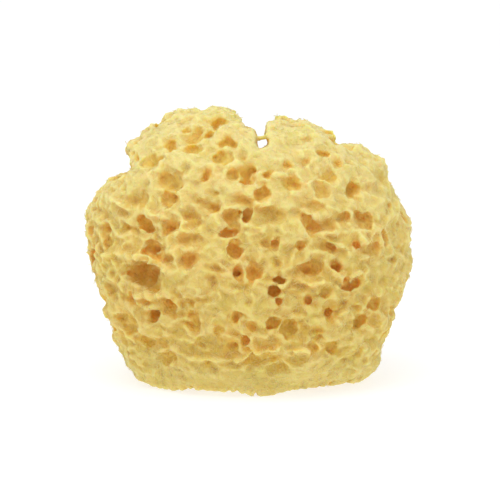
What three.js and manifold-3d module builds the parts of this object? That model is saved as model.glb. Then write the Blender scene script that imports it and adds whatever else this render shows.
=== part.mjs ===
// A natural sea sponge: the dried skeleton of a honeycomb sponge, grown as one piece.
// It is a broad bun with a cleft crown, pitted all over, and cut flat where it grew on the rock.
// Millimetres, +Z up, the front faces -Y, and the origin is the middle of the cut base.
import * as THREE from "three";
import { mergeVertices } from "three/addons/utils/BufferGeometryUtils.js";
import { ImprovedNoise } from "three/addons/math/ImprovedNoise.js";
import Module from "manifold-3d";

// Driving dimensions
const DEPTH = 100; // front to back, before the pits are cut
const HEART = new THREE.Vector3(0, 0, 50); // the point that the sponge grew out from
const FULLNESS = 2.35; // 2 is an ellipsoid, higher is squarer
const BODY_DETAIL = 9; // splits of each icosahedron edge

// The front outline, across and up from the middle of the base, anticlockwise from the right foot.
// The points below the base are cut away.
const OUTLINE = [
  [46, -3], [51, 4], [53, 12], [58, 25], [63, 37], [65, 56], [64.5, 65], [60, 73],
  [57, 78], [54.5, 86], [47, 93], [35, 98], [23, 105], [11, 106.5], [0, 107], [-13, 110],
  [-33, 106.5], [-42, 101], [-49, 93], [-48, 86], [-56, 81], [-63, 73], [-65, 61], [-65, 51],
  [-61, 40], [-57, 25], [-52.5, 12], [-48.5, 4], [-44, -3], [-28, -14], [0, -18], [28, -14],
];

// Round from the outline towards the front and back, its nicks smooth out and lumps rise.
const LEAVING_OUTLINE = [0.06, 0.5]; // where that starts and ends, as a share of the way round
const NICK_BLUR = 0.5; // the stretch of outline that is averaged, in radians each way
const LUMPS = [
  { height: 4.5, pitch: 2.1 }, // height, and how many to a radian
  { height: 2.2, pitch: 4.7 },
];

// The front is laid out as it is seen from a little above, in millimetres across and up the picture.
const SEEN_FROM = THREE.MathUtils.degToRad(11);
const SEEN_FOOT = -7.2; // the base's front edge, up the picture from the origin
const ACROSS = new THREE.Vector3(1, 0, 0);
const UP = new THREE.Vector3(0, Math.sin(SEEN_FROM), Math.cos(SEEN_FROM));
const AWAY = new THREE.Vector3(0, Math.cos(SEEN_FROM), -Math.sin(SEEN_FROM));

// Pits on the front: across, up, width, height, turn in degrees, depth
const FRONT_PITS = [
  [-42.2, 47.6, 20, 14, 0, 5], [-42.5, 48.6, 13, 8.5, -15, 10], [-41.4, 68, 7.5, 4.5, -35, 8],
  [-38.3, 58.6, 8, 5.6, 0, 8], [-32.2, 78.5, 6, 7.5, 20, 6], [-31, 85.6, 12, 10, 0, 4],
  [-39.2, 94.6, 13, 7, 0, 4], [-22.3, 70.8, 4.4, 9.5, 25, 5], [-16.6, 88, 4.4, 6, 0, 4],
  [-6.6, 88, 3, 6, 15, 6], [-0.6, 87.6, 9.5, 5, -30, 4], [-11, 95, 10, 7, -20, 5],
  [-11.9, 108.9, 8, 6, -20, 4], [-8.8, 101, 8, 4, 0, 4], [-25, 105.4, 4, 3.4, -20, 4],
  [-16.2, 104, 4, 4, 0, 4], [-22.7, 98, 7, 5, 0, 5], [-31.4, 99.4, 4.4, 8, 20, 4],
  [6.8, 87.6, 5, 4, 0, 3], [5.9, 79.4, 8, 5.6, 0, 7], [17.2, 84.2, 5, 5, 0, 4],
  [28.9, 82.4, 7, 5, 0, 5], [42.4, 81.6, 6, 8.7, -15, 5], [31.5, 88.9, 6, 3.5, 0, 4],
  [26.3, 75.5, 11, 5, 0, 3], [-6.2, 70.8, 6.5, 7, 0, 6], [-0.6, 71.2, 3.2, 6, 0, 8],
  [-8.4, 65.6, 6.5, 3.2, 20, 8], [9, 71.2, 15, 9, 0, 3], [24.6, 66.8, 6.5, 8, 0, 8],
  [46.2, 70.4, 8, 7, 0, 6], [36.6, 70.4, 10, 7, 0, 3], [11.1, 61.2, 3, 4.4, -15, 7],
  [20.6, 59.4, 3, 3.6, -30, 6], [32, 59, 5, 5, 0, 6], [42.8, 61.2, 3.2, 3.6, 0, 5],
  [-5, 58.1, 6.5, 4.6, -30, 8], [7.2, 60.4, 5, 3.6, 0, 4], [-23.6, 52.9, 3.6, 5, 15, 6],
  [-4.5, 49, 4, 5, 0, 7], [2, 49.4, 5, 7, 0, 6], [12.4, 46, 5, 3.4, 0, 9],
  [9.8, 41.2, 6, 4.4, -20, 9], [12, 37.3, 3, 4.4, -20, 7], [25, 50.4, 8, 3.6, 10, 8],
  [35, 50.8, 5, 4, -35, 7], [40.2, 45.6, 7, 5.5, 0, 7], [30.6, 41.2, 4, 5, -15, 6],
  [23.3, 38.6, 3, 3, 0, 7], [32.8, 33, 7, 7, 0, 7], [50.2, 36.4, 6, 5, 0, 7],
  [44.5, 29.6, 6, 4.4, 0, 5], [40.2, 25.2, 3, 3, 0, 5], [33.7, 19, 6, 5, 0, 5],
  [19.4, 34.8, 3.2, 6, -15, 5], [9.4, 28.6, 5.6, 4.4, 25, 7], [16.3, 25.6, 6.5, 4.8, -15, 7],
  [1.6, 28.2, 4.8, 4.4, 0, 5], [-4.5, 31.2, 4.4, 4.4, 0, 6], [-12.3, 26, 5, 5, 0, 5],
  [-38.3, 31.2, 4.8, 4, 15, 7], [-26.2, 36, 5, 3.4, 0, 5], [-22.7, 31.6, 3, 4.4, -25, 5],
  [-48.3, 27.8, 8, 9.5, 20, 5], [-40.6, 20.8, 3.6, 3.6, 0, 5], [-21.4, 19.6, 5, 3.4, 0, 4],
  [-6.6, 20, 6, 3.4, 0, 5], [-2.3, 21.7, 3, 5, -25, 6], [2, 14.8, 8, 4, 15, 5],
  [26.8, 19.2, 3.6, 4.4, 0, 4], [-56.2, 61.2, 6, 4.4, 0, 5], [51.4, 60, 6, 7, 0, 4],
  [15.4, 91.6, 4.4, 3.6, 0, 4], [29, 96.2, 5.5, 4, 0, 4], [23.4, 102.4, 4.5, 3.6, 0, 4],
  [35.4, 92.4, 5, 4, 0, 4], [45.6, 93.2, 4.4, 3.6, 0, 3],
];
const FRONT_LEAN = 0.5; // a front pit points between square to the skin, 0, and at the viewer, 1

// Pits scattered over the top, sides and back
const SCATTER = { count: 130, seed: 11, width: [6, 12], stretch: [0.6, 1], depth: [4, 9] };
const SCATTER_FLOOR = 15; // the cut rim below this height has none
const FRONT_FACING = 0.3; // skin that faces the viewer more than this is the front

// A pit is a cup: radius as a share of its width, and height as a share of its depth
const CUP = [[0, -1], [0.7, -0.72]];
const CUP_MOUTH = { flare: 1.45, rise: 4 };
const CUP_SIDES = { small: 6, large: 7, from: 7 };

// The cleft between the two crowns, seen from the front, across and up, and how far it runs in
const CLEFT = [
  [-3, 118], [-1.6, 108], [2.4, 106], [3.2, 102.4], [2.6, 100.4], [4.6, 98.4],
  [7.6, 98.6], [8, 101], [6.4, 103.4], [7, 108], [8.4, 118],
];
const CLEFT_RUN = [-60, 14];
// The valley that it opens into behind: the middle of each hollow, and its width, length and height
const VALLEY = [
  { middle: [4, 20, 100], size: [10, 28, 32] },
  { middle: [6, 36, 94], size: [12.5, 34, 44] },
];

const wasm = await Module();
wasm.setup();
const noise = new ImprovedNoise();

// A closed geometry as a manifold solid, facing out
function solidOf(geometry) {
  const bare = geometry.clone();
  bare.deleteAttribute("normal");
  bare.deleteAttribute("uv");
  const merged = mergeVertices(bare, 1e-4);
  const mesh = { numProp: 3, vertProperties: merged.attributes.position.array };
  const triVerts = new Uint32Array(merged.index.array);
  return new wasm.Manifold(new wasm.Mesh({ ...mesh, triVerts }));
}

function geometryOf(solid) {
  const mesh = solid.getMesh();
  const geometry = new THREE.BufferGeometry();
  geometry.setAttribute("position", new THREE.BufferAttribute(mesh.vertProperties, 3));
  geometry.setIndex(new THREE.BufferAttribute(mesh.triVerts, 1));
  geometry.computeVertexNormals();
  return geometry;
}

// How far the outline is from the heart, at an angle up from the right
const outlineCurve = new THREE.CatmullRomCurve3(
  OUTLINE.map(([x, z]) => new THREE.Vector3(x, 0, z).sub(HEART)), true);
const outlineRing = outlineCurve.getSpacedPoints(480)
  .map((p) => ({ angle: Math.atan2(p.z, p.x), reach: Math.hypot(p.x, p.z) }))
  .sort((a, b) => a.angle - b.angle);

function outlineReach(angle) {
  const wrapped = Math.atan2(Math.sin(angle), Math.cos(angle));
  const after = outlineRing.findIndex((p) => p.angle > wrapped);
  if (after < 1) return outlineRing[0].reach;
  const [a, b] = [outlineRing[after - 1], outlineRing[after]];
  return THREE.MathUtils.mapLinear(wrapped, a.angle, b.angle, a.reach, b.reach);
}

function blurredReach(angle) {
  const steps = [-1, -0.6, -0.2, 0.2, 0.6, 1];
  return steps.reduce((sum, step) => sum + outlineReach(angle + step * NICK_BLUR), 0) / steps.length;
}

function lumpsAt(direction) {
  const rise = ({ height, pitch }) => {
    const at = direction.clone().multiplyScalar(pitch).addScalar(height);
    return height * noise.noise(at.x, at.y, at.z);
  };
  return LUMPS.reduce((sum, lump) => sum + rise(lump), 0);
}

// How far the skin is from the heart, in a direction of length 1
function skinReach(direction) {
  const angle = Math.atan2(direction.z, direction.x);
  const left = THREE.MathUtils.smoothstep(Math.abs(direction.y), ...LEAVING_OUTLINE);
  const around = THREE.MathUtils.lerp(outlineReach(angle), blurredReach(angle), left);
  const side = Math.hypot(direction.x, direction.z) / around;
  const deep = Math.abs(direction.y) / (DEPTH / 2);
  const bun = (side ** FULLNESS + deep ** FULLNESS) ** (-1 / FULLNESS);
  return bun + left * lumpsAt(direction);
}

// How far a point is above the skin, negative inside
function aboveSkin(point) {
  const arm = point.clone().sub(HEART);
  const length = arm.length();
  return length - skinReach(arm.divideScalar(length));
}

function skinNormal(point) {
  const step = 0.5;
  const slope = (axis) => {
    const offset = new THREE.Vector3().setComponent(axis, step);
    return aboveSkin(point.clone().add(offset)) - aboveSkin(point.clone().sub(offset));
  };
  return new THREE.Vector3(slope(0), slope(1), slope(2)).normalize();
}

// The point of the skin that the front view shows at a place in the picture
function skinSeenAt(across, up) {
  const start = new THREE.Vector3().addScaledVector(ACROSS, across).addScaledVector(UP, up + SEEN_FOOT);
  let [near, far] = [-DEPTH, 0];
  while (aboveSkin(start.clone().addScaledVector(AWAY, far)) > 0 && far < DEPTH / 2) far += 1;
  for (let halving = 0; halving < 24; halving += 1) {
    const middle = (near + far) / 2;
    if (aboveSkin(start.clone().addScaledVector(AWAY, middle)) > 0) near = middle;
    else far = middle;
  }
  return start.addScaledVector(AWAY, far);
}

function body() {
  const skin = new THREE.IcosahedronGeometry(1, BODY_DETAIL);
  const position = skin.getAttribute("position");
  const direction = new THREE.Vector3();
  for (let i = 0; i < position.count; i += 1) {
    direction.fromBufferAttribute(position, i).normalize();
    direction.multiplyScalar(skinReach(direction)).add(HEART);
    position.setXYZ(i, direction.x, direction.y, direction.z);
  }
  return solidOf(skin);
}

// The rock that the sponge was cut from, everything below the base
function rock() {
  const side = 3 * DEPTH;
  return solidOf(new THREE.BoxGeometry(side, side, side).translate(0, 0, -side / 2));
}

function cleft() {
  const shape = new THREE.Shape(CLEFT.map(([across, up]) => new THREE.Vector2(across, up + SEEN_FOOT)));
  const [start, end] = CLEFT_RUN;
  const slot = new THREE.ExtrudeGeometry(shape, { depth: end - start, bevelEnabled: false, steps: 1 });
  slot.translate(0, 0, -end);
  const asSeen = new THREE.Matrix4().makeBasis(ACROSS, UP, AWAY.clone().negate());
  const hollows = VALLEY.map(({ middle, size }) => {
    const half = size.map((side) => side / 2);
    return solidOf(new THREE.IcosahedronGeometry(1, 2).scale(...half).translate(...middle));
  });
  return hollows.reduce((all, hollow) => all.add(hollow), solidOf(slot.applyMatrix4(asSeen)));
}

// The cup that a pit is cut with, its mouth at a point of the skin and open along outward
function pit(point, outward, width, height, turn, depth) {
  const sides = Math.max(width, height) < CUP_SIDES.from ? CUP_SIDES.small : CUP_SIDES.large;
  const profile = CUP.map(([radius, level]) => new THREE.Vector2(radius, level * depth));
  profile.push(new THREE.Vector2(CUP_MOUTH.flare, CUP_MOUTH.rise), new THREE.Vector2(0, CUP_MOUTH.rise));
  const cup = new THREE.LatheGeometry(profile, sides).scale(width / 2, 1, height / 2);
  cup.rotateY(THREE.MathUtils.degToRad(turn));
  const right = ACROSS.clone().projectOnPlane(outward).normalize();
  const frame = new THREE.Matrix4().makeBasis(right, outward, right.clone().cross(outward));
  return solidOf(cup.applyMatrix4(frame.setPosition(point)));
}

function frontPits() {
  return FRONT_PITS.map(([across, up, width, height, turn, depth]) => {
    const point = skinSeenAt(across, up);
    const outward = skinNormal(point).lerp(AWAY.clone().negate(), FRONT_LEAN).normalize();
    return pit(point, outward, width, height, turn, depth);
  });
}

// A small repeatable random generator, 0 to 1
function randomFrom(seed) {
  let state = seed;
  return () => {
    state = (state * 16807) % 2147483647;
    return state / 2147483647;
  };
}

// Pits at even steps of a spiral round the heart, where the front list doesn't reach
function scatteredPits() {
  const random = randomFrom(SCATTER.seed);
  const between = ([low, high]) => low + (high - low) * random();
  const goldenAngle = Math.PI * (3 - Math.sqrt(5));
  const pits = [];
  for (let i = 0; i < SCATTER.count; i += 1) {
    const width = between(SCATTER.width);
    const height = width * between(SCATTER.stretch);
    const turn = 180 * random();
    const depth = between(SCATTER.depth);
    const level = 1 - (2 * (i + random())) / SCATTER.count;
    const turned = goldenAngle * i + 0.5 * random();
    const flat = Math.sqrt(1 - level * level);
    const direction = new THREE.Vector3(flat * Math.cos(turned), flat * Math.sin(turned), level);
    const point = direction.clone().multiplyScalar(skinReach(direction)).add(HEART);
    const outward = skinNormal(point);
    if (point.z < SCATTER_FLOOR || -outward.dot(AWAY) > FRONT_FACING) continue;
    pits.push(pit(point, outward, width, height, turn, depth));
  }
  return pits;
}

function sponge() {
  const pits = [...frontPits(), ...scatteredPits()].reduce((all, one) => all.add(one));
  const geometry = geometryOf(body().subtract(rock()).subtract(cleft()).subtract(pits));
  geometry.computeBoundingBox();
  const middle = geometry.boundingBox.getCenter(new THREE.Vector3());
  const material = new THREE.MeshStandardMaterial({ color: 0xdfc47a, roughness: 0.95, metalness: 0 });
  const mesh = new THREE.Mesh(geometry, material);
  mesh.name = "sponge";
  mesh.position.set(-middle.x, -middle.y, 0);
  return mesh;
}

const part = new THREE.Group();
part.add(sponge());
export default part;
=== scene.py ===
# %% [markdown]
# # A natural sea sponge
# This lesson dresses a sponge that was already shaped as a plain solid. The solid has the true
# size, the outline, the cleft in the crown and the large pits. Here it gets what the eye reads as
# sponge: wandering rims, hundreds of small mouths, felted fibre and a colour that runs from pale
# straw on the ridges, a painted highlight, to amber in the pits, painted shade and bounce light.

# %% Load the imported solid
import math

import bmesh
import bpy
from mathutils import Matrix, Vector


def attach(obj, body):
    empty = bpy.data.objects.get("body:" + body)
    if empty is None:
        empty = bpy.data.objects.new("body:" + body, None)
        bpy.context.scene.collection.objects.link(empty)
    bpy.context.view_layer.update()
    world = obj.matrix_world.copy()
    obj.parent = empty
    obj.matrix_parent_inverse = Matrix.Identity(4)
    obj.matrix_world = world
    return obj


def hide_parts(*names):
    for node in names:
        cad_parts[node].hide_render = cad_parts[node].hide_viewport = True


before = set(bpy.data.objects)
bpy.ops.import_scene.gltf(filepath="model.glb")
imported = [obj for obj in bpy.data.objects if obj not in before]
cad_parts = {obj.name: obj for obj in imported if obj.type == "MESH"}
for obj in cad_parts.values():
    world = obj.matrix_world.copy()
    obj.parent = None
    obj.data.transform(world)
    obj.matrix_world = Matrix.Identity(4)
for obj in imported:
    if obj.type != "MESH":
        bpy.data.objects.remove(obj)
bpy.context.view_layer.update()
MM = 0.001

# %% [markdown]
# ## Soft form
# The solid is faceted, and its pits have straight rims. On the real skeleton every rim is rounded.
# A Subdivision Surface could round the facets, but it pinches where long thin triangles meet. So a
# copy is welded, rebuilt on a fine even grid by a voxel Remesh and relaxed a little. The grid also
# gives the later steps evenly spread points to move. The solid itself is left alone.

# %% Copy and round the solid
WELD = 0.001 * MM
FORM_VOXEL = 0.8 * MM
FORM_ROUNDING = 4
RELAX = 0.5


def placed(name, data):
    """A new object in the scene, at the origin."""
    piece = bpy.data.objects.new(name, data)
    bpy.context.scene.collection.objects.link(piece)
    return piece


def bake(piece):
    """Turns a piece's live modifiers into plain mesh, and drops them."""
    graph = bpy.context.evaluated_depsgraph_get()
    mesh = bpy.data.meshes.new_from_object(piece.evaluated_get(graph))
    piece.modifiers.clear()
    piece.data = mesh


def rebuild(piece, voxel, rounding):
    """Rebuilds a piece on an even grid and relaxes it."""
    grid = piece.modifiers.new("grid", "REMESH")
    grid.mode = "VOXEL"
    grid.voxel_size = voxel
    relax = piece.modifiers.new("relax", "SMOOTH")
    relax.factor = RELAX
    relax.iterations = rounding
    bake(piece)


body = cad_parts["sponge"].data.copy()
welded = bmesh.new()
welded.from_mesh(body)
bmesh.ops.remove_doubles(welded, verts=welded.verts, dist=WELD)
welded.to_mesh(body)
welded.free()
skin = placed("sponge_skin", body)
rebuild(skin, FORM_VOXEL, FORM_ROUNDING)
print("soft form has", len(skin.data.vertices), "points")

# %% [markdown]
# ## Places in the front view
# Some features sit at one place of the front: the lips round the big crater, the fold above the
# foot, the strand across the cleft. They are given in millimetres across and up the view from a
# little above. A ray thrown along that view finds the spot on the soft form, so each feature sits
# on the surface from any side.

# %% Throw rays along the front view
VIEW_TILT = math.radians(11)
VIEW_FOOT = 7.1 * MM
VIEW_UP = Vector((0.0, math.sin(VIEW_TILT), math.cos(VIEW_TILT)))
VIEW_AWAY = Vector((0.0, math.cos(VIEW_TILT), -math.sin(VIEW_TILT)))
VIEW_START = 200 * MM
VIEW_MIDDLE = (0, 55)


def in_view(across, up):
    """The point in the middle plane of the view that shows at a place, in millimetres."""
    return Vector((across * MM, 0.0, 0.0)) + VIEW_UP * (up * MM - VIEW_FOOT)


def on_surface(across, up):
    """The first point of the skin that the view meets there, or None beside the sponge."""
    hit, spot, _, _ = skin.ray_cast(in_view(across, up) - VIEW_AWAY * VIEW_START, VIEW_AWAY)
    return spot if hit else None


print("middle of the front is at", [round(side / MM, 1) for side in on_surface(*VIEW_MIDDLE)], "mm")

# %% [markdown]
# ## Drawn lips
# Where the skeleton tore it left thin raised lips. The clearest ones are drawn here as short lines:
# round the crater on the left, over some pits and along the fold above the foot. Each line is laid
# on the surface as a chain of edges. A later tree measures how near each point is to a chain and
# raises it, which gives a lip with soft flanks that no separate strip of mesh would have.

# %% Lay the lip lines on the soft form
LIP_LINES = [
    [(-57.0, 55.6), (-52.0, 56.4), (-47.4, 56.0), (-42.0, 55.6), (-38.0, 53.6), (-34.0, 51.6),
     (-32.2, 49.6)],
    [(-45.4, 39.6), (-41.0, 40.6), (-36.6, 39.6), (-33.6, 41.0)],
    [(-43.4, 36.8), (-39.4, 36.0), (-36.2, 36.8)],
    [(-51.0, 44.8), (-50.0, 42.4), (-48.4, 41.6)],
    [(-40.0, 73.4), (-36.0, 71.6), (-32.0, 70.4), (-27.6, 69.2)],
    [(-54.6, 78.4), (-51.4, 76.8), (-48.4, 75.2)],
    [(2.0, 89.0), (7.0, 88.2), (12.0, 87.2), (17.0, 87.6)],
    [(1.6, 76.4), (5.4, 75.2), (9.6, 76.8)],
    [(20.6, 72.4), (25.0, 71.2), (29.8, 70.0)],
    [(27.8, 64.4), (32.0, 65.2), (36.0, 64.4)],
    [(33.4, 49.2), (36.0, 47.4), (37.2, 45.6), (40.6, 48.4), (44.8, 50.0)],
    [(20.6, 45.4), (26.0, 44.6), (30.0, 46.0)],
    [(9.0, 44.4), (13.4, 43.4), (16.4, 45.0)],
    [(-23.4, 15.2), (-13.4, 15.2), (-5.4, 14.8), (-1.4, 15.6), (1.4, 17.4), (5.4, 18.4),
     (9.4, 19.6), (13.0, 20.4)],
    [(16.0, 18.2), (20.6, 19.2), (25.0, 17.6)],
]
LINE_STEP = 1.2


def laid(stops):
    """The spots on the surface along a line, about one step apart."""
    spots = []
    for (x0, u0), (x1, u1) in zip(stops, stops[1:]):
        count = max(1, round(math.hypot(x1 - x0, u1 - u0) / LINE_STEP))
        for step in range(count):
            part = step / count
            spots.append(on_surface(x0 + (x1 - x0) * part, u0 + (u1 - u0) * part))
    return [spot for spot in spots if spot is not None]


lines = bmesh.new()
for stops in LIP_LINES:
    chain = [lines.verts.new(spot) for spot in laid(stops)]
    for pair in zip(chain, chain[1:]):
        lines.edges.new(pair)
line_mesh = bpy.data.meshes.new("lip lines")
lines.to_mesh(line_mesh)
lines.free()
lip_lines = placed("lip_lines", line_mesh)
print("lip lines have", len(line_mesh.edges), "edges")

# %% [markdown]
# ## Sums on wires
# Geometry Nodes and shaders are both webs of small nodes. A Wire wraps one output socket, so that
# a plain sum such as `depth * 2 + wave` adds the Math nodes by itself. The lesson then reads as
# formulas instead of long lists of links.

# %% A wire that can be used in sums
class Wire:
    """One output socket of a node tree that can be used in sums."""

    def __init__(self, socket):
        self.socket = socket
        self.tree = socket.id_data

    def node(self, kind, operation, others, output):
        made = self.tree.nodes.new(kind)
        made.operation = operation
        for slot, value in zip(made.inputs, (self, *others)):
            plug(value, slot)
        return Wire(made.outputs[output])

    def sums(self, operation, *others):
        return self.node("ShaderNodeMath", operation, others, 0)

    def vector(self, operation, *others):
        gives_number = operation in ("DOT_PRODUCT", "LENGTH", "DISTANCE")
        return self.node("ShaderNodeVectorMath", operation, others, 1 if gives_number else 0)

    def scaled(self, amount):
        return out(add(self.tree, "ShaderNodeVectorMath", {0: self, "Scale": amount},
                       operation="SCALE"))

    def ramped(self, start, end, low=0.0, high=1.0):
        ends = {"From Min": start, "From Max": end, "To Min": low, "To Max": high}
        return out(add(self.tree, "ShaderNodeMapRange", {"Value": self, **ends},
                       interpolation_type="SMOOTHSTEP"))

    def __add__(self, other):
        return self.sums("ADD", other)

    def __sub__(self, other):
        return self.sums("SUBTRACT", other)

    def __mul__(self, other):
        return self.sums("MULTIPLY", other)


def plug(value, slot):
    """Links a Wire to a socket, or sets a plain value on it."""
    if isinstance(value, Wire):
        value.tree.links.new(value.socket, slot)
    else:
        slot.default_value = value


def add(tree, kind, inputs=None, **settings):
    """Adds a node, with its settings first and then its inputs by name or number."""
    made = tree.nodes.new(kind)
    for name, value in settings.items():
        setattr(made, name, value)
    for name, value in (inputs or {}).items():
        plug(value, made.inputs[name])
    return made


def out(made, name=0):
    return Wire(made.outputs[name])


# %% [markdown]
# ## Helpers for common nodes
# Three more kinds of node come up all through the lesson: a noise for what varies, the coordinates
# of a point, and a blur that averages a value over its neighbours on the mesh. Each gets a short
# helper. A seed moves the noise to another place, so that no two features share their waves.

# %% Noise, coordinates and averages
CENTRE = (0.5, 0.5, 0.5)
SEED_STEP = (1.0, 0.37, 0.71)


def inverse(size):
    return size.sums("POWER", -1.0) if isinstance(size, Wire) else 1 / size


def noise(point, size, seed, detail=1.0):
    """A noise node whose waves are about one size across."""
    moved = point.vector("ADD", tuple(seed * step for step in SEED_STEP))
    return add(point.tree, "ShaderNodeTexNoise",
               {"Vector": moved, "Scale": inverse(size), "Detail": detail})


def waves(point, size, seed, detail=1.0):
    """The value of a noise, which swings about one half."""
    return out(noise(point, size, seed, detail))


def drift(point, size, reach, seed):
    """A vector that wanders by up to about the reach either way."""
    return out(noise(point, size, seed), "Color").vector("SUBTRACT", CENTRE).scaled(reach * 2)


def along(vector, axis):
    """One coordinate of a vector."""
    return out(add(vector.tree, "ShaderNodeSeparateXYZ", {"Vector": vector}), axis)


def vector_of(tree, **coordinates):
    """A vector from the coordinates that are given, with nought for the others."""
    return out(add(tree, "ShaderNodeCombineXYZ", coordinates))


def blurred(value, turns, kind="FLOAT"):
    """A value averaged with its neighbours on the mesh, over and over."""
    return out(add(value.tree, "GeometryNodeBlurAttribute", {"Value": value, "Iterations": turns},
                   data_type=kind))


print("wires can add, scale, ramp, wander and blur")

# %% [markdown]
# ## A tree for the relief
# Sculpting a whole sponge by hand would take days. One Geometry Nodes tree does it by rule, in two
# moves. The first reshapes what is there: rims wander, pits fill, hollows sink and the foot tears.
# The second works along the normals of that new surface: it raises ripples and lips and pushes
# small mouths in. The next cells add one feature each.

# %% Start the relief tree
RELIEF_SIZES = {
    "Wander Reach": 1.7 * MM,
    "Mouth Spacing": 8.6 * MM,
    "Mouth Depth": 3.6 * MM,
    "Ripple Height": 2.5 * MM,
    "Lip Height": 3.0 * MM,
}
BASE_FREE = (0.5 * MM, 4 * MM)
FORM_BLUR = 60


def geometry_tree(name, sizes):
    """A Geometry Nodes tree with a named input for each size, and its input and output nodes."""
    tree = bpy.data.node_groups.new(name, "GeometryNodeTree")
    tree.interface.new_socket("Geometry", in_out="INPUT", socket_type="NodeSocketGeometry")
    for size in sizes:
        tree.interface.new_socket(size, in_out="INPUT", socket_type="NodeSocketFloat")
    tree.interface.new_socket("Geometry", in_out="OUTPUT", socket_type="NodeSocketGeometry")
    return tree, add(tree, "NodeGroupInput"), add(tree, "NodeGroupOutput")


def even_normal(tree, turns):
    """The normal of the surface without its small dents."""
    normals = out(add(tree, "GeometryNodeInputNormal"))
    return blurred(normals, turns, "FLOAT_VECTOR").vector("NORMALIZE")


def tell(feature):
    print(feature, "added, the relief tree has", len(relief.nodes), "nodes")


relief, relief_in, relief_out = geometry_tree("small mouths", RELIEF_SIZES)
wander_reach, spacing, deepest, ripple, lip = (out(relief_in, name) for name in RELIEF_SIZES)
point = out(add(relief, "GeometryNodeInputPosition"))
side, depth_in, height = (along(point, axis) for axis in "XYZ")
off_base = height.ramped(*BASE_FREE)
form_normal = even_normal(relief, FORM_BLUR)
tell("inputs")

# %% [markdown]
# ## Wandering rims
# No pit of a real sponge is round, because fibres grew across each other in all directions. A noise
# that moves points along their normals would only make bumps. This one moves them mostly sideways,
# in a broad and a fine wave, so that the rims bend. It is calmer at the narrow cleft, which would
# otherwise close.

# %% Let the rims wander
# width, share of the reach and seed
WANDERS = [(8.0 * MM, 1.0, 3.0), (3.0 * MM, 0.88, 8.0)]
WANDER_LIFT = 0.35
CLEFT_AT = (5.2, 101.0)
CLEFT_CALM = (4 * MM, 11 * MM)
CLEFT_KEEPS = 0.12
CLEFT_BEHIND = (-20 * MM, 0.0)


def seen_distance(point, across, up):
    """How far a point is from a place in the front view, as it is seen."""
    from_place = point.vector("SUBTRACT", tuple(in_view(across, up)))
    sideways = from_place.vector("MULTIPLY", (1.0, 0.0, 0.0))
    upwards = from_place.vector("DOT_PRODUCT", tuple(VIEW_UP))
    return sideways.vector("ADD", vector_of(point.tree, Z=upwards)).vector("LENGTH")


broad, fine = (drift(point, size, wander_reach * share, seed) for size, share, seed in WANDERS)
wander = broad.vector("ADD", fine)
outward = form_normal.scaled(wander.vector("DOT_PRODUCT", form_normal) * (1 - WANDER_LIFT))
by_cleft = seen_distance(point, *CLEFT_AT).ramped(*CLEFT_CALM, CLEFT_KEEPS, 1.0)
by_cleft = by_cleft.sums("MAXIMUM", depth_in.ramped(*CLEFT_BEHIND))
shift = wander.vector("SUBTRACT", outward).scaled(off_base * by_cleft)
tell("wandering rims")

# %% [markdown]
# ## Softer pits
# The solid's pits are plain cups. Real ones are bowls that lean their own way and narrow to a
# throat. How far a point lies below the evened form says how deep it sits in a pit. Deep points are
# lifted, low on the sponge more than in the crown, and skewed by a slow noise. The blurred depth
# then spreads past the rim and sinks it into a bowl.

# %% Shape the pits
PIT_FROM = 0.5 * MM
PIT_FILL = (0.62, 0.34)
PIT_LEVELS = (24 * MM, 50 * MM)
DEEP_FILL = 0.032 / MM
PIT_SKEW = {"size": 9.0 * MM, "reach": 0.9, "seed": 14.0}
BOWL = 1.6
BOWL_BLUR = 30

evened = blurred(point, FORM_BLUR, "FLOAT_VECTOR")
sunk = evened.vector("SUBTRACT", point).vector("DOT_PRODUCT", form_normal) - PIT_FROM
sunk = sunk.sums("MAXIMUM", 0.0) * off_base * by_cleft
fill = height.ramped(*PIT_LEVELS, *PIT_FILL) + sunk * DEEP_FILL
skewed = form_normal.scaled(fill).vector("ADD", drift(point, **PIT_SKEW)).scaled(sunk)
bowl = form_normal.scaled((blurred(sunk, BOWL_BLUR) - sunk).sums("MAXIMUM", 0.0) * -BOWL)
shift = shift.vector("ADD", skewed).vector("ADD", bowl)
tell("softer pits")

# %% [markdown]
# ## Nicks in the outline
# The edge of a sponge is never even: a lump broke off here, a lobe stands out there. Each nick or
# bulge is a round weight at a place of the front view that pushes the surface towards the middle of
# the sponge or away from it. That is quicker than a lattice, and every nick can be moved alone.

# %% Dent the outline
# across, up, radius and depth in millimetres; a bulge has a minus
DENTS = [
    (38.4, 103.2, 5.4, 3.4),
    (35.8, 103.2, 3.6, 2.4),
    (-50.0, 91.6, 5.0, 3.2),
    (-54.0, 88.8, 5.0, 1.4),
    (-59.4, 85.2, 4.5, 1.8),
    (-62.4, 81.4, 4.0, -1.2),
    (-44.4, 104.6, 7.0, 1.8),
    (41.4, 103.0, 6.0, 1.2),
    (14.6, 113.4, 5.0, 1.2),
    (28.0, 110.4, 6.0, 1.2),
    (-51.6, 15.4, 6.0, 1.0),
    (-64.6, 61.2, 3.0, 1.4),
    (-58.8, 37.0, 7.0, 0.9),
    (58.6, 33.6, 2.8, 3.0),
    (52.8, 17.6, 5.0, -1.4),
    (-36.0, 111.6, 5.0, 1.6),
    (-3.0, 113.0, 5.0, 0.6),
    (0.8, 110.0, 4.5, 1.8),
    (10.5, 113.0, 7.0, 1.6),
    (18.5, 112.5, 7.0, 1.8),
    (54.0, 92.6, 6.0, -1.8),
    (-20.0, 114.5, 12.0, 1.0),
    (4.0, 98.8, 2.6, 1.0),
    (52.5, 11.0, 7.0, -1.6),
]


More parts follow.
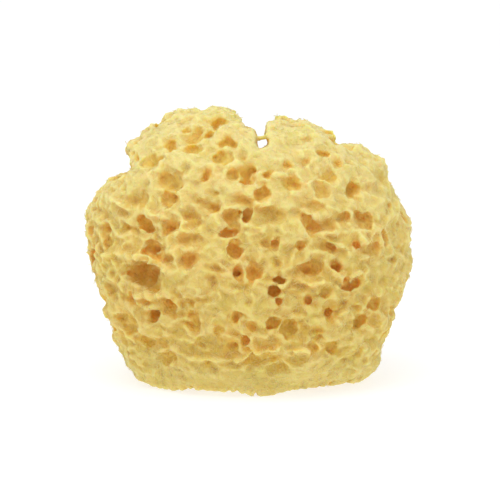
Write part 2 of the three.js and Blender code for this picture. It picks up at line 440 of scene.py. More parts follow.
def dents(point):
    """Nicks and bulges of the outline, each towards or away from the middle of the sponge."""
    middle = in_view(*VIEW_MIDDLE)
    total = None
    for across, up, radius, depth in DENTS:
        inward = (middle - in_view(across, up)).normalized() * depth * MM
        weight = seen_distance(point, across, up).ramped(radius * MM, 0.0)
        push = weight.vector("MULTIPLY", tuple(inward))
        total = total.vector("ADD", push) if total else push
    return total


shift = shift.vector("ADD", dents(point))
tell("nicks in the outline")

# %% [markdown]
# ## Single hollows
# One wide crater on the left and a scatter of shallow golden hollows in the crown and above the
# foot give this sponge its face. They are weights in the front view too, but they push straight
# along the view, and only on the front half. The crater is three rounds that overlap.

# %% Sink the hollows of the front
# across, up, radius and depth in millimetres; the first three are the crater
HOLLOWS = [
    (-46.6, 49.6, 5.0, 3.6),
    (-42.8, 48.2, 6.0, 4.6),
    (-39.4, 46.6, 5.0, 4.2),
    (-11.7, 108.7, 3.8, 2.2),
    (-8.1, 100.7, 4.0, 1.8),
    (-38.7, 94.0, 4.8, 1.9),
    (-11.4, 94.3, 4.4, 1.9),
    (-31.1, 86.7, 5.5, 1.6),
    (-25.1, 105.3, 2.5, 1.6),
    (-16.1, 104.0, 2.5, 1.5),
    (29.3, 96.7, 4.8, 1.9),
    (7.3, 87.7, 2.9, 1.7),
    (17.3, 84.0, 3.3, 1.9),
    (14.0, 104.5, 3.2, 1.6),
    (24.6, 101.3, 3.2, 1.6),
    (33.0, 18.4, 4.4, 2.4),
    (43.6, 29.6, 4.0, 1.3),
    (25.6, 19.4, 2.6, 1.8),
    (35.8, 35.4, 3.4, 1.7),
    (-49.4, 29.0, 4.6, 1.8),
]
HOLLOW_FLOOR = 0.3
HOLLOW_FRONT = (0.0, -10 * MM)


def hollows(point, front):
    """Single hollows of the front, each with a flat floor, pushed in along the view."""
    total = None
    for across, up, radius, depth in HOLLOWS:
        away = seen_distance(point, across, up)
        weight = away.ramped(radius * MM, HOLLOW_FLOOR * radius * MM) * (depth * MM)
        total = total.sums("MAXIMUM", weight) if total else weight
    return (total * front.ramped(*HOLLOW_FRONT)).vector("MULTIPLY", tuple(VIEW_AWAY))


shift = shift.vector("ADD", hollows(point, depth_in))
tell("single hollows")

# %% [markdown]
# ## Valley behind the cleft
# The cleft between the two crowns runs on to the back as a valley. The solid's walls there are
# steep and close together. Instead of being cut again they are pushed apart, more towards the top
# and unevenly, as two lobes that grew side by side lean apart.

# %% Open the valley
VALLEY_MIDDLE = 5 * MM
VALLEY_FLARE = 6.5 * MM
VALLEY_REACH = (20 * MM, 3 * MM)
VALLEY_RISE = (82 * MM, 104 * MM)
VALLEY_BEHIND = (-8 * MM, 14 * MM)
VALLEY_WAVES = {"size": 11 * MM, "seed": 17.2}
VALLEY_UNEVEN = (0.35, 1.25)
# most of a noise lies between these
NOISE_SPAN = (0.3, 0.7)

off_middle = side - VALLEY_MIDDLE
uneven = waves(point, **VALLEY_WAVES).ramped(*NOISE_SPAN, *VALLEY_UNEVEN)
flare = off_middle.sums("ABSOLUTE").ramped(*VALLEY_REACH) * height.ramped(*VALLEY_RISE)
flare = flare * depth_in.ramped(*VALLEY_BEHIND) * uneven * VALLEY_FLARE
shift = shift.vector("ADD", vector_of(relief, X=flare * off_middle.sums("SIGN")))
tell("valley")

# %% [markdown]
# ## Torn foot
# The sponge was cut off its rock, so its base is flat, but parts of the rim curl off the floor and
# the edge is nicked. How far the rim is lifted is drawn as a curve across the sponge, which a Float
# Curve node holds. The nicks come from a noise that is read round a ring, so that each one runs
# straight through the rim.

# %% Lift and nick the rim of the base
FOOT_HALF = (48 * MM, 36 * MM)
# across, and how far the rim of the base is off the floor there, in millimetres
FOOT_RIM = [
    (-52, 2.4), (-47, 2.2), (-44, 0.8), (-29, 0.6), (-22, 1.6), (-8, 1.6), (0, 0.5),
    (6, 0.0), (12, 0.6), (20, 1.5), (39, 1.9), (43, 0.8), (52, 1.2),
]
FOOT_EDGE = (0.62, 1.0)
FOOT_TOP = 10 * MM
# width, height and seed
NICKS = [(2.2 * MM, 2.0 * MM, 3.3), (1.3 * MM, 1.2 * MM, 9.1)]
NICK_FROM = (0.54, 0.62)
NICK_RING = 42 * MM
NICK_EDGE = (0.48, 0.74)
NICK_TOP = 3.5 * MM


def rim_lift(side):
    """How far the rim of the base is off the floor, drawn as a curve across the sponge."""
    first, last = FOOT_RIM[0][0], FOOT_RIM[-1][0]
    most = max(lift for _, lift in FOOT_RIM)
    part = (side - first * MM) * (1 / (last - first) / MM)
    made = add(side.tree, "ShaderNodeFloatCurve", {"Value": part})
    curve = made.mapping.curves[0]
    for across, lift in FOOT_RIM[1:-1]:
        curve.points.new((across - first) / (last - first), lift / most)
    curve.points[0].location = (0.0, FOOT_RIM[0][1] / most)
    curve.points[-1].location = (1.0, FOOT_RIM[-1][1] / most)
    made.mapping.update()
    return out(made) * (most * MM)


arm = point.vector("MULTIPLY", (1.0, 1.0, 0.0))
foot_share = arm.vector("DIVIDE", (*FOOT_HALF, 1.0)).vector("LENGTH")
rise = rim_lift(side) * foot_share.ramped(*FOOT_EDGE) * height.ramped(FOOT_TOP, 0.0)
around = arm.vector("NORMALIZE").scaled(NICK_RING)
wide, narrow = (waves(around, size, seed).ramped(*NICK_FROM) * deep for size, deep, seed in NICKS)
nick = (wide + narrow) * foot_share.ramped(*NICK_EDGE) * height.ramped(NICK_TOP, 0.0)
shift = shift.vector("ADD", vector_of(relief, Z=rise + nick))
reshaped = add(relief, "GeometryNodeSetPosition", {"Geometry": out(relief_in), "Offset": shift})
tell("torn foot")

# %% [markdown]
# ## Ripples and lips
# Between the pits the skin is torn fibre: long low waves and thin lips that all run the same way, a
# little uphill. A noise that is turned and stretched gives the waves. A thin lip stands wherever
# that kind of noise passes its middle value, which makes lines that wander and never cross. The
# drawn lips are added, and all of it fades to a calm band above the foot.

# %% Raise ripples and lips
NORMAL_BLUR = 12
STREAK_TURN = (0.0, math.radians(-24), 0.0)
STREAK_STRETCH = (0.45, 0.45, 1.0)
RIPPLES = [
    {"size": 3.4 * MM, "share": 0.36, "seed": 6.3},
    {"size": 8.5 * MM, "share": 1.0, "seed": 4.4},
]
RIPPLE_DETAIL = 2.0
LIPS = {"size": 6.0 * MM, "share": 0.4, "seed": 2.9, "width": 0.06}
DRAWN_LIP_WIDTH = 1.7 * MM
LIP_WAVES = {"size": 4 * MM, "seed": 12.5}
LIP_UNEVEN = (0.25, 0.75, 0.5, 1.2)
SHRINK = 0.4 * MM
CALM_WAVES = {"size": 24 * MM, "seed": 5.7}
CALM_FOOT = (7 * MM, 17 * MM)
CALM_FADE = 6 * MM
CALM_KEEPS = 0.12
CALM_FRONT = (5 * MM, -28 * MM)
CALM_BEHIND = 0.3


def streaked(point):
    """The place of a point in a pattern that is drawn out along the grain of the fibre."""
    turned = add(point.tree, "ShaderNodeVectorRotate", {"Vector": point, "Rotation": STREAK_TURN},
                 rotation_type="EULER_XYZ")
    return out(turned).vector("MULTIPLY", STREAK_STRETCH)


def ripples(point, height, size, share, seed):
    """Long low waves that run across the surface, as torn fibre does."""
    return (waves(streaked(point), size, seed, RIPPLE_DETAIL) - 0.5) * (height * (2 * share))


def lips(point, height, size, share, seed, width):
    """Thin raised lines where a noise passes its middle value."""
    off_line = (waves(streaked(point), size, seed) - 0.5).sums("ABSOLUTE")
    return off_line.ramped(width, 0.0) * (height * share)


def drawn_lips(point, height):
    """The drawn lips, raised by how near a point is to a line."""
    info = add(point.tree, "GeometryNodeObjectInfo", {"Object": lip_lines})
    near = add(point.tree, "GeometryNodeProximity", {"Geometry": out(info, "Geometry")},
               target_element="EDGES")
    uneven = waves(point, **LIP_WAVES).ramped(*LIP_UNEVEN)
    return out(near, "Distance").ramped(DRAWN_LIP_WIDTH, 0.0) * uneven * height


normal = even_normal(relief, NORMAL_BLUR)
calm_line = waves(point, **CALM_WAVES).ramped(*NOISE_SPAN, *CALM_FOOT)
calm_line = calm_line * depth_in.ramped(*CALM_FRONT, CALM_BEHIND, 1.0)
lively = (height - calm_line).ramped(-CALM_FADE, CALM_FADE, CALM_KEEPS, 1.0) * off_base
low, high = (ripples(point, ripple, **sort) for sort in RIPPLES)
raised = (low + high + lips(point, lip, **LIPS)) * lively + drawn_lips(point, lip) - SHRINK
push = normal.scaled(raised * by_cleft * off_base)
tell("ripples and lips")

# %% [markdown]
# ## Small mouths
# Between its large pits a sponge is full of smaller mouths, each a soft funnel that leans its own
# way. They could be cut one by one, but they follow a rule: one mouth to each cell of a cell
# texture, with its depth and lean from that cell's own random colour. The nearest and the second
# nearest centre together say how far across its cell a point is, so that the funnels never meet.
# The cut base has mouths of its own.

# %% Push the mouths in
# share is of the spacing, depths are of the depth, mouth and throat are across the cell
MOUTHS = [
    {"share": 1.00, "depths": (0.11, 1.00), "mouth": 0.98, "throat": 0.1, "seed": 1.7},
    {"share": 0.53, "depths": (0.03, 0.75), "mouth": 0.95, "throat": 0.15, "seed": 5.1},
    {"share": 0.30, "depths": (0.00, 0.36), "mouth": 0.95, "throat": 0.2, "seed": 7.9},
]
BASE_MOUTHS = [
    {"share": 0.87, "depths": (0.14, 1.67), "mouth": 0.85, "throat": 0.25, "seed": 21.3},
    {"share": 0.42, "depths": (0.00, 0.67), "mouth": 0.85, "throat": 0.25, "seed": 25.9},
]
BASE_EDGE = (0.84, 0.66)
MOUTH_LEAN = 0.8
MOUTH_TWIST = {"size": 5.0 * MM, "reach": 2.4 * MM}
TWIST_SEED = 40
MOUTH_STRETCH = (0.8, 0.8, 1.15)
DEEP_ONES = 1.8


def mouths(point, normal, keep, share, depths, mouth, throat, seed):
    """The push of one size of mouth at each point; few mouths are deep, many are shallow."""
    twisted = point.vector("ADD", drift(point, seed=seed + TWIST_SEED, **MOUTH_TWIST))
    cell = {"Vector": twisted.vector("MULTIPLY", MOUTH_STRETCH), "Scale": inverse(spacing * share)}
    nearest = add(point.tree, "ShaderNodeTexVoronoi", cell)
    second = add(point.tree, "ShaderNodeTexVoronoi", cell, feature="F2")
    across = out(nearest, "Distance").sums("DIVIDE", out(second, "Distance"))
    chance = out(nearest, "Color")
    lean = chance.vector("SUBTRACT", CENTRE).scaled(2 * MOUTH_LEAN)
    least, most = depths
    luck = along(chance, "X").sums("POWER", DEEP_ONES)
    reach = (luck * (most - least) + least) * deepest
    return lean.vector("SUBTRACT", normal).scaled(across.ramped(mouth, throat) * keep * reach)


for sort in MOUTHS:
    push = push.vector("ADD", mouths(point, normal, lively * by_cleft, **sort))
on_base = foot_share.ramped(*BASE_EDGE) * height.ramped(*reversed(BASE_FREE))
for sort in BASE_MOUTHS:
    push = push.vector("ADD", mouths(point, normal, on_base, **sort))
pushed = add(relief, "GeometryNodeSetPosition", {"Geometry": out(reshaped), "Offset": push})
plug(out(pushed), relief_out.inputs[0])
tell("small mouths")

# %% Move the surface
def grow(piece, tree, sizes):
    """Puts a tree on a piece, sets its sizes and turns the result into plain mesh."""
    layer = piece.modifiers.new(tree.name, "NODES")
    layer.node_group = tree
    for socket in tree.interface.items_tree:
        if socket.name in sizes:
            layer[socket.identifier] = sizes[socket.name]
    bake(piece)


grow(skin, relief, RELIEF_SIZES)
bpy.data.objects.remove(lip_lines)
print("moved surface has", len(skin.data.vertices), "points")

# %% [markdown]
# ## Strand across the cleft
# One thin strand of skeleton still joins the two crowns, and light shows through under it. It is a
# short bent tube whose ends are sunk into the crowns. A boolean could join it, but the surface is
# rebuilt on a grid once more anyway, to mend what the push folded, and that merges the tube too.

# %% Lay the strand
STRAND = [(1.4, 102.6), (4.8, 101.6), (8.6, 103.4)]
STRAND_DEPTH = -40 * MM
STRAND_RADIUS = 1.0 * MM
STRAND_ROUNDNESS = 2
STRAND_ORDER = 3

route = bpy.data.curves.new("strand", "CURVE")
route.dimensions = "3D"
route.bevel_depth = STRAND_RADIUS
route.bevel_resolution = STRAND_ROUNDNESS
route.use_fill_caps = True
spline = route.splines.new("NURBS")
spline.points.add(len(STRAND) - 1)
spline.use_endpoint_u = True
spline.order_u = STRAND_ORDER
for stop, (across, up) in zip(spline.points, STRAND):
    stop.co = (*(in_view(across, up) + VIEW_AWAY * STRAND_DEPTH), 1.0)
strand = placed("strand", route)
graph = bpy.context.evaluated_depsgraph_get()
strand_mesh = bpy.data.meshes.new_from_object(strand.evaluated_get(graph))
bpy.data.objects.remove(strand)
merged = bmesh.new()
merged.from_mesh(skin.data)
merged.from_mesh(strand_mesh)
merged.to_mesh(skin.data)
merged.free()
print("strand has", len(strand_mesh.polygons), "faces")

# %% Rebuild the surface
SKIN_VOXEL = 0.72 * MM
SKIN_ROUNDING = 1


def triangles(mesh):
    return sum(len(face.vertices) - 2 for face in mesh.polygons)


rebuild(skin, SKIN_VOXEL, SKIN_ROUNDING)
print("pitted skin has", triangles(skin.data), "triangles")

# %% [markdown]
# ## Thinning
# The grid gives flat places as many faces as the rims. Decimate takes faces where they do the
# least, which keeps the piece light enough to share. Loose crumbs that the push cut off are
# deleted first, and the base is laid flat on the floor after it.

# %% Drop crumbs, thin the skin and flatten the base
SKIN_TRIANGLES = 196000
BASE_SNAP = 0.6 * MM


def drop_crumbs(mesh):
    """Keeps only the largest connected shell, and counts the others."""
    shell = bmesh.new()
    shell.from_mesh(mesh)
    seen = set()
    islands = []
    for first in shell.verts:
        if first in seen:
            continue
        seen.add(first)
        island = [first]
        for vert in island:
            for edge in vert.link_edges:
                other = edge.other_vert(vert)
                if other not in seen:
                    seen.add(other)
                    island.append(other)
        islands.append(island)
    islands.sort(key=len)
    crumbs = [vert for island in islands[:-1] for vert in island]
    bmesh.ops.delete(shell, geom=crumbs, context="VERTS")
    shell.to_mesh(mesh)
    shell.free()
    return len(islands) - 1


print("crumbs dropped:", drop_crumbs(skin.data))
thin = skin.modifiers.new("thin", "DECIMATE")
thin.ratio = min(1.0, SKIN_TRIANGLES / triangles(skin.data))
bake(skin)
for vert in skin.data.vertices:
    if vert.co.z < BASE_SNAP:
        vert.co.z = 0.0
skin.data.shade_smooth()
print("skin has", triangles(skin.data), "triangles")

# %% [markdown]
# ## Felt
# The skeleton is a felt of fibres, so no part of it is quite smooth. A fine noise moves each point
# a little along its normal. A bump in the material alone would leave the outline smooth. The felt
# comes after the thinning, so that every face that is left is used.

# %% Roughen the surface
FELT_SIZES = {"Fuzz Size": 1.8 * MM, "Fuzz Height": 0.26 * MM}
FELT_SEED = 11.0
FELT_FROM = 1.5 * MM

tree, given, made = geometry_tree("felt", FELT_SIZES)
fuzz_size, fuzz_height = (out(given, name) for name in FELT_SIZES)
point = out(add(tree, "GeometryNodeInputPosition"))
fuzz = (waves(point, fuzz_size, FELT_SEED) - 0.5) * (fuzz_height * 2)
own_normal = out(add(tree, "GeometryNodeInputNormal"))
shift = own_normal.scaled(fuzz * along(point, "Z").ramped(0.0, FELT_FROM))
moved = add(tree, "GeometryNodeSetPosition", {"Geometry": out(given), "Offset": shift})
plug(out(moved), made.inputs[0])
grow(skin, tree, FELT_SIZES)
skin.data.shade_smooth()
print("felt moves points by up to", round(FELT_SIZES["Fuzz Height"] / MM, 2), "mm")

# %% [markdown]
# ## How open each place is
# Pits look amber because light bounces many times inside them and reddens at each bounce. So the
# colour needs to know how open each point is to the space around it. A Repeat zone throws rays from
# every point in random outward directions and adds up how near they meet the sponge again. The
# average is stored on the mesh as an attribute, so the colour belongs to the piece and not to a
# camera. A second attribute says how far each point stands above its neighbours, as a crest does.

# %% Tree that measures openness and crests
RAYS = 24
RAY_SIZES = {"Ray Reach": 16 * MM}
RAY_LIFT = 0.25 * MM
HOLLOW_BLUR = 6
CREST_BLUR = 10
CLEFT_SHADE_KEEPS = 0.4


def stored(geometry, name, value):
    """Keeps a value on the points of the mesh under a name."""
    return out(add(value.tree, "GeometryNodeStoreNamedAttribute",
                   {"Geometry": geometry, "Name": name, "Value": value},
                   data_type="FLOAT", domain="POINT"))


tree, given, made = geometry_tree("openness", RAY_SIZES)
ray_reach = out(given, "Ray Reach")
point = out(add(tree, "GeometryNodeInputPosition"))
normal = out(add(tree, "GeometryNodeInputNormal"))
first = tree.nodes.new("GeometryNodeRepeatInput")
last = tree.nodes.new("GeometryNodeRepeatOutput")
first.pair_with_output(last)
last.repeat_items.clear()
last.repeat_items.new("FLOAT", "Met")
first.inputs["Iterations"].default_value = RAYS
dart = add(tree, "FunctionNodeRandomValue",
           {"Min": (-1.0, -1.0, -1.0), "Max": (1.0, 1.0, 1.0), "Seed": out(first, "Iteration")},
           data_type="FLOAT_VECTOR")
way = out(dart).vector("NORMALIZE").vector("ADD", normal)
ray = add(tree, "GeometryNodeRaycast",
          {"Target Geometry": out(given), "Ray Direction": way, "Ray Length": ray_reach,
           "Source Position": point.vector("ADD", normal.scaled(RAY_LIFT))})
nearness = out(ray, "Hit Distance").ramped(ray_reach, 0.0) * out(ray, "Is Hit")
plug(out(first, "Met") + nearness, last.inputs["Met"])
hollow = blurred(out(last, "Met").sums("DIVIDE", RAYS), HOLLOW_BLUR)
# near the cleft the hollow, and so the painted pit shade, is less
hollow = hollow * seen_distance(point, *CLEFT_AT).ramped(*CLEFT_CALM, CLEFT_SHADE_KEEPS, 1.0)
from_around = point.vector("SUBTRACT", blurred(point, CREST_BLUR, "FLOAT_VECTOR"))
crest = from_around.vector("DOT_PRODUCT", normal).sums("DIVIDE", MM)
plug(stored(stored(out(given), "hollow", hollow), "crest", crest), made.inputs[0])
print("openness tree throws", RAYS, "rays from each point")

# %% Store openness and crests on the skin
grow(skin, tree, RAY_SIZES)
for name in ("hollow", "crest"):
    values = sorted(item.value for item in skin.data.attributes[name].data)
    middle = values[len(values) // 2]
    print(name, "is", round(middle, 2), "in the middle and", round(values[-1], 2), "at most")

# %% [markdown]
# ## Sponge finish
# The dry skeleton is matte and lets some light through. A painted picture would need a flat map of
# this folded surface, so its colour is worked out instead, from the two attributes and the height.
# It is golden on the open skin. Painted highlights make the crests pale straw, and painted shade
# and bounce light turn it amber and then burnt orange where the hollow closes in. Painted light
# makes the crown paler, and painted shade darkens the lower part and the foot. Noises move the
# yellow a little to green and to orange.

# %% Colours of the skeleton
# painted shade and bounce light, by the hollow attribute, from 0 in the open to 1 deep in a pit
OPEN_TO_PIT_SHADE_COLOURS = [
    (0.00, (0.81, 0.640, 0.205)),
    (0.10, (0.77, 0.555, 0.148)),
    (0.25, (0.77, 0.500, 0.120)),
    (0.45, (0.87, 0.540, 0.125)),
    (0.68, (0.98, 0.590, 0.140)),
    (0.92, (1.00, 0.610, 0.150)),
]
# crests keep only part of the hollow, and so less painted pit shade
CREST_SHADE_FROM = (0.2, 0.8)
CREST_SHADE_KEEPS = 0.3
# painted shade: gold in the shallow hollows of the crown and low down, not at middle height
GOLD_SHADE = (0.86, 0.605, 0.14)
GOLD_LEVEL = 58 * MM
GOLD_FADE = (10 * MM, 34 * MM)
GOLD_FROM = (0.06, 0.24)
GOLD_UNTIL = (0.75, 0.5)
GOLD_SHARE = 0.85
# painted highlight on the crests and on the raised crease lines
CREST_HIGHLIGHT = (0.86, 0.74, 0.33)
CREST_FROM = (0.02, 0.55)
CREST_SHARE = 0.6
# painted light: the open skin is paler towards the top of the crown
CROWN_PAINTED_LIGHT = (0.86, 0.755, 0.355)
CROWN_FROM = (55 * MM, 106 * MM)
CROWN_OPEN = (0.32, 0.08)
CROWN_SHARE = 0.5
# painted shade: the open skin is darker lower down
LOW_PAINTED_SHADE = (0.94, 0.905, 0.83)
LOW_FROM = (75 * MM, 35 * MM)
LOW_OPEN = (0.55, 0.15)
# painted shade: a little darker towards the foot
FOOT_PAINTED_SHADE = (0.96, 0.98, 1.0)
FOOT_FROM = (22 * MM, 10 * MM)


def colour_ramp(wire, stops):
    made = add(wire.tree, "ShaderNodeValToRGB", {"Fac": wire})
    made.color_ramp.interpolation = "EASE"
    while len(made.color_ramp.elements) < len(stops):
        made.color_ramp.elements.new(1.0)
    for element, (place, colour) in zip(made.color_ramp.elements, stops):
        element.position = place
        element.color = (*colour, 1.0)
    return out(made)


def tinted(wire, amount, colour, blend):
    """Mixes or multiplies a colour in; sockets 6 and 7 are the node's two colours."""
    made = add(wire.tree, "ShaderNodeMix", {0: amount, 6: wire, 7: (*colour, 1.0)},
               data_type="RGBA", blend_type=blend)
    return out(made, 2)


print("finish has", len(OPEN_TO_PIT_SHADE_COLOURS), "colours from open to hollow")

# %% [markdown]
# ## Mottling
# Salt, sun and age leave a sponge blotched. Three noises do this at three sizes: patches of green
# and orange wider than a pit, a fine green mottle, and a grain of darker fibre. They only multiply
# the colour below them, so that a pit stays amber and a crest stays straw.

# %% Mix the colours
GREENISH = (0.95, 1.0, 0.80)
REDDISH = (1.0, 0.90, 0.78)
SHADY = (0.87, 0.82, 0.74)
PATCHES = {"size": 14 * MM, "seed": 4.0, "detail": 2.0}
MOTTLE = {"size": 3.2 * MM, "seed": 15.0}
GRAIN = {"size": 1.3 * MM, "seed": 6.0}
GRAIN_SHIFT = 0.1
# where the noise or the hollow starts and ends, and the share of the tint at both
GREEN_PATCH = (0.42, 0.7, 0.0, 0.4)
RED_PATCH = (0.5, 0.28, 0.0, 0.5)
GREEN_MOTTLE = (0.5, 0.72, 0.0, 0.45)
SHADY_GRAIN = (0.52, 0.3, 0.0, 0.4)
# the crease lines take the painted crest highlight where the skin is open
CRINKLE_OPEN = (0.45, 0.1, 0.0, 0.3)


def sponge_colour(place, hollow, crest, crinkle):
    """The colour of the skeleton, from the open colour to the tints of crown, skin and foot:
    painted shade in hollows and low down, painted highlights on crests and creases, painted light
    on the crown.
    """
    level = along(place, "Z")
    patch = waves(place, **PATCHES)
    mottle = waves(place, **MOTTLE)
    grain = waves(place, **GRAIN)
    thin = crest.ramped(*CREST_SHADE_FROM, 1.0, CREST_SHADE_KEEPS)
    # painted shade: golden in shallow hollows away from the middle height
    golden_shade = (level - GOLD_LEVEL).sums("ABSOLUTE").ramped(*GOLD_FADE)
    golden_shade = golden_shade * hollow.ramped(*GOLD_FROM) * hollow.ramped(*GOLD_UNTIL)
    # painted shade and bounce light: the hollow turns the open colour amber in the pits
    shade = colour_ramp(hollow * thin + (grain - 0.5) * GRAIN_SHIFT, OPEN_TO_PIT_SHADE_COLOURS)
    layers = [
        (golden_shade * GOLD_SHARE, GOLD_SHADE, "MIX"),
        # painted highlight on the crests
        (crest.ramped(*CREST_FROM) * CREST_SHARE, CREST_HIGHLIGHT, "MIX"),
        # painted light on the open skin of the crown
        (level.ramped(*CROWN_FROM) * hollow.ramped(*CROWN_OPEN) * CROWN_SHARE, CROWN_PAINTED_LIGHT, "MIX"),
        (patch.ramped(*GREEN_PATCH), GREENISH, "MULTIPLY"),
        (patch.ramped(*RED_PATCH), REDDISH, "MULTIPLY"),
        (mottle.ramped(*GREEN_MOTTLE), GREENISH, "MULTIPLY"),
        (grain.ramped(*SHADY_GRAIN), SHADY, "MULTIPLY"),
        # painted highlight on the raised crease lines
        (crinkle * hollow.ramped(*CRINKLE_OPEN), CREST_HIGHLIGHT, "MIX"),
        # painted shade on the open skin lower down
        (level.ramped(*LOW_FROM) * hollow.ramped(*LOW_OPEN), LOW_PAINTED_SHADE, "MULTIPLY"),
        # painted shade near the foot
        (level.ramped(*FOOT_FROM), FOOT_PAINTED_SHADE, "MULTIPLY"),
    ]
    for amount, colour, blend in layers:
        shade = tinted(shade, amount, colour, blend)
    return shade


wave_sizes = [round(sort["size"] / MM, 1) for sort in (PATCHES, MOTTLE, GRAIN)]
print("mottling has waves of", wave_sizes, "mm")

# %% [markdown]
# ## Fibre in the finish
# Up close the skin is crossed by tiny threads and creases, finer than the mesh. A felt of short
# waves and a net of creases, where a noise passes its middle value, bend the light as a bump, and
# the raised creases also get a painted highlight. The light that enters the felt is let through a
# few millimetres by subsurface scattering. Single loose threads are too thin for that, so they
# scatter none. In open places their colour is painted a little paler, as painted light against the
# shade on their undersides.

# %% Build the sponge material
CRINKLE = {"size": 2.6 * MM, "seed": 31.0, "detail": 1.5}
CRINKLE_WIDTH = 0.09
FELT_WAVES = {"size": 0.9 * MM, "seed": 9.0, "detail": 3.0}
FELT_BUMP = 0.4
CRINKLE_BUMP = 0.35
BUMP = {"Strength": 0.6, "Distance": 1.0 * MM}
DRY = {
    "Roughness": 0.9,
    "Specular IOR Level": 0.15,
    "Subsurface Radius": (1.0, 0.7, 0.3),
    "Subsurface Scale": 4.2 * MM,
}
SKIN_SCATTER = 0.9
# painted light: loose threads are paler in open places, against the shade on their undersides
THREAD_PAINTED_LIGHT = (0.95, 0.83, 0.42)
THREAD_OPEN = (0.5, 0.1)


def sponge_finish(name, scatter, thread_light_share):
    """The finish of the skeleton, with its share of scattered light and of painted thread light."""
    finish = bpy.data.materials.new(name)
    finish.use_nodes = True
    web = finish.node_tree
    shader = web.nodes["Principled BSDF"]
    place = out(add(web, "ShaderNodeTexCoord"), "Object")
    hollow, crest = (out(add(web, "ShaderNodeAttribute", attribute_name=label), "Fac")
                     for label in ("hollow", "crest"))
    crinkle = (waves(place, **CRINKLE) - 0.5).sums("ABSOLUTE").ramped(CRINKLE_WIDTH, 0.0)
    shade = sponge_colour(place, hollow, crest, crinkle)
    if thread_light_share:
        # painted light on the loose threads
        shade = tinted(shade, hollow.ramped(*THREAD_OPEN) * thread_light_share, THREAD_PAINTED_LIGHT, "MIX")
    bumps = waves(place, **FELT_WAVES) * FELT_BUMP + crinkle * CRINKLE_BUMP
    bump = add(web, "ShaderNodeBump", {"Height": bumps, **BUMP})
    sockets = {"Base Color": shade, "Normal": out(bump), "Subsurface Weight": scatter, **DRY}
    for socket, value in sockets.items():
        plug(value, shader.inputs[socket])
    return finish


skin.data.materials.clear()
skin.data.materials.append(sponge_finish("sponge_skeleton", SKIN_SCATTER, 0.0))
print("skin has the finish", skin.data.materials[0].name)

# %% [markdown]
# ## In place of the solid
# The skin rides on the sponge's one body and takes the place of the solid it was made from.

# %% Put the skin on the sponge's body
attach(skin, "root")
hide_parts("sponge")
print(skin.name, "stands for the solid")

# %% [markdown]
# ## Loose fibres
# At the outline single fibres stand off the felt in low arches. Hair curves would be lost when the
# model is shared, so each fibre is a real three-sided thread. Geometry Nodes scatter points over
# the skin, put one bent thread on each with its own turn and size, and realize them as one mesh.
# The points carry the skin's two attributes along, so the fibres take the colour of the place they
# stand on.

# %% Tree with one thread
CM = 10 * MM
FIBRE_COUNT = 9000
FIBRE_RADIUS = 0.085 * MM
FIBRE_ARCH = {
    "Start": (-1.2 * MM, 0.0, -0.2 * MM),
    "Middle": (0.0, 0.0, 0.42 * MM),
    "End": (1.3 * MM, 0.0, 0.0),
}
FIBRE_STEPS = 2
FIBRE_SIDES = 3

area = sum(face.area for face in skin.data.polygons)
fibre_sizes = {"Density": FIBRE_COUNT / area, "Thread Radius": FIBRE_RADIUS}
tree, given, made = geometry_tree("loose fibres", fibre_sizes)
path = add(tree, "GeometryNodeCurveQuadraticBezier", {"Resolution": FIBRE_STEPS, **FIBRE_ARCH})
section = add(tree, "GeometryNodeCurvePrimitiveCircle",
              {"Resolution": FIBRE_SIDES, "Radius": out(given, "Thread Radius")})
thread = add(tree, "GeometryNodeCurveToMesh",
             {"Curve": out(path), "Profile Curve": out(section), "Fill Caps": True})
print("threads are", round(2 * FIBRE_RADIUS / MM, 2), "mm thick")
print("skin has", round(area / CM / CM), "square cm")

# %% Scatter the threads
FIBRE_FLOOR = 2.8 * MM
FIBRE_SCALES = (0.6, 1.5)
FIBRE_TILT = 0.5
SPOT_SEED = 5
TILT_SEED = 21
SCALE_SEED = 0
THREAD_PAINTED_LIGHT_SHARE = 0.5

thread_finish = sponge_finish("loose_fibre", 0.0, THREAD_PAINTED_LIGHT_SHARE)
point = out(add(tree, "GeometryNodeInputPosition"))
off_floor = along(point, "Z").sums("GREATER_THAN", FIBRE_FLOOR)
spots = add(tree, "GeometryNodeDistributePointsOnFaces",
            {"Mesh": out(given, "Geometry"), "Density": out(given, "Density"),
             "Selection": off_floor, "Seed": SPOT_SEED})
tilt = add(tree, "FunctionNodeRandomValue",
           {"Min": (-FIBRE_TILT, -FIBRE_TILT, 0.0), "Max": (FIBRE_TILT, FIBRE_TILT, 2 * math.pi),
            "Seed": TILT_SEED}, data_type="FLOAT_VECTOR")
turn = add(tree, "FunctionNodeEulerToRotation", {"Euler": out(tilt)})
stand = add(tree, "FunctionNodeRotateRotation",
            {"Rotation": out(spots, "Rotation"), "Rotate By": out(turn)}, rotation_space="LOCAL")
# the plain numbers of a Random Value node are its third and fourth inputs and its second output
least, most = FIBRE_SCALES
scale = add(tree, "FunctionNodeRandomValue", {2: least, 3: most, "Seed": SCALE_SEED},
            data_type="FLOAT")
put = add(tree, "GeometryNodeInstanceOnPoints",
          {"Points": out(spots, "Points"), "Instance": out(thread), "Rotation": out(stand),
           "Scale": out(scale, 1)})
real = add(tree, "GeometryNodeRealizeInstances", {"Geometry": out(put)})
dressed = add(tree, "GeometryNodeSetMaterial", {"Geometry": out(real), "Material": thread_finish})
plug(out(dressed), made.inputs[0])
print("fibre tree has", len(tree.nodes), "nodes")

# %% Lay the fibres on the skin
fibres = placed("loose_fibres", skin.data.copy())
grow(fibres, tree, fibre_sizes)
fibres.data.shade_smooth()
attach(fibres, "root")
print("fibres have", triangles(fibres.data), "triangles")

# %% [markdown]
# ## Studio
# The sponge stands on a plain pale floor under one broad soft light from above and in front, with
# an even white surround. The floor glows a little, so that only a faint shadow is left on it.

# %% Floor
FLOOR_HALF = 4.0
FLOOR_GAP = 0.05 * MM
FLOOR_CORNERS = [(-1, -1), (1, -1), (1, 1), (-1, 1)]
WHITE = (1.0, 1.0, 1.0, 1.0)
PALE = {
    "Base Color": (0.4, 0.4, 0.4, 1.0),
    "Roughness": 0.9,
    "Emission Color": WHITE,
    "Emission Strength": 0.7,
}

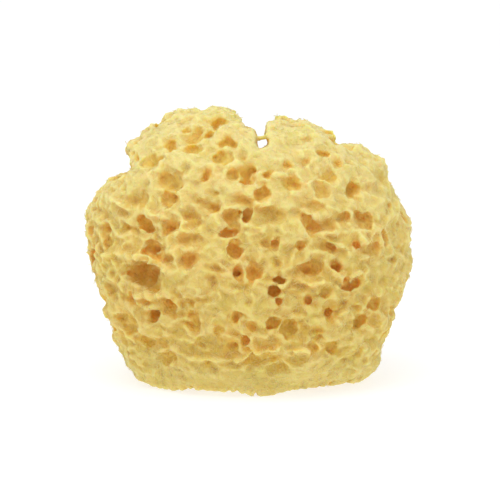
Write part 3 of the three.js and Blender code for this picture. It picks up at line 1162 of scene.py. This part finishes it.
plane = bpy.data.meshes.new("floor")
corners = [(x * FLOOR_HALF, y * FLOOR_HALF, -FLOOR_GAP) for x, y in FLOOR_CORNERS]
plane.from_pydata(corners, [], [(0, 1, 2, 3)])
floor = placed("floor", plane)
pale = bpy.data.materials.new("pale_floor")
pale.use_nodes = True
for socket, value in PALE.items():
    plug(value, pale.node_tree.nodes["Principled BSDF"].inputs[socket])
plane.materials.append(pale)
print("floor is", 2 * FLOOR_HALF, "m wide")

# %% Light and surround
SURROUND = 0.70
LAMP_POWER = 3.1
LAMP_SIZE = 0.6
LAMP_AT = Vector((-0.08, -0.30, 0.85))
LAMP_AIM = Vector((0.0, 0.0, 0.06))

surround = bpy.data.worlds.new("surround")
surround.use_nodes = True
web = surround.node_tree
backdrop = web.nodes.get("Background") or web.nodes.new("ShaderNodeBackground")
plug(WHITE, backdrop.inputs["Color"])
plug(SURROUND, backdrop.inputs["Strength"])
bpy.context.scene.world = surround
lamp = bpy.data.lights.new("softbox", "AREA")
lamp.energy = LAMP_POWER
lamp.size = LAMP_SIZE
softbox = placed("softbox", lamp)
softbox.location = LAMP_AT
softbox.rotation_euler = (LAMP_AIM - LAMP_AT).to_track_quat("-Z", "Y").to_euler()
bpy.context.scene.view_settings.view_transform = "Standard"
print("softbox is", round(LAMP_AT.length, 2), "m away")

# %% [markdown]
# ## Camera
# The sponge was seen from a little above and straight in front, from far off. A long lens at that
# tilt frames 200 mm across at the sponge, and keeps its sides as straight as they are.

# %% Place the camera
FRAME_WIDTH = 200 * MM
AWAY = 2.5
AIM = Vector((0.69 * MM, 0.0, 51.9 * MM))
SENSOR = 36.0

lens = bpy.data.cameras.new("camera")
lens.sensor_width = SENSOR
lens.lens = SENSOR * AWAY / FRAME_WIDTH
camera = placed("camera", lens)
camera.location = AIM - VIEW_AWAY * AWAY
camera.rotation_euler = VIEW_AWAY.to_track_quat("-Z", "Y").to_euler()
bpy.context.scene.camera = camera
print("lens is", round(lens.lens), "mm long")
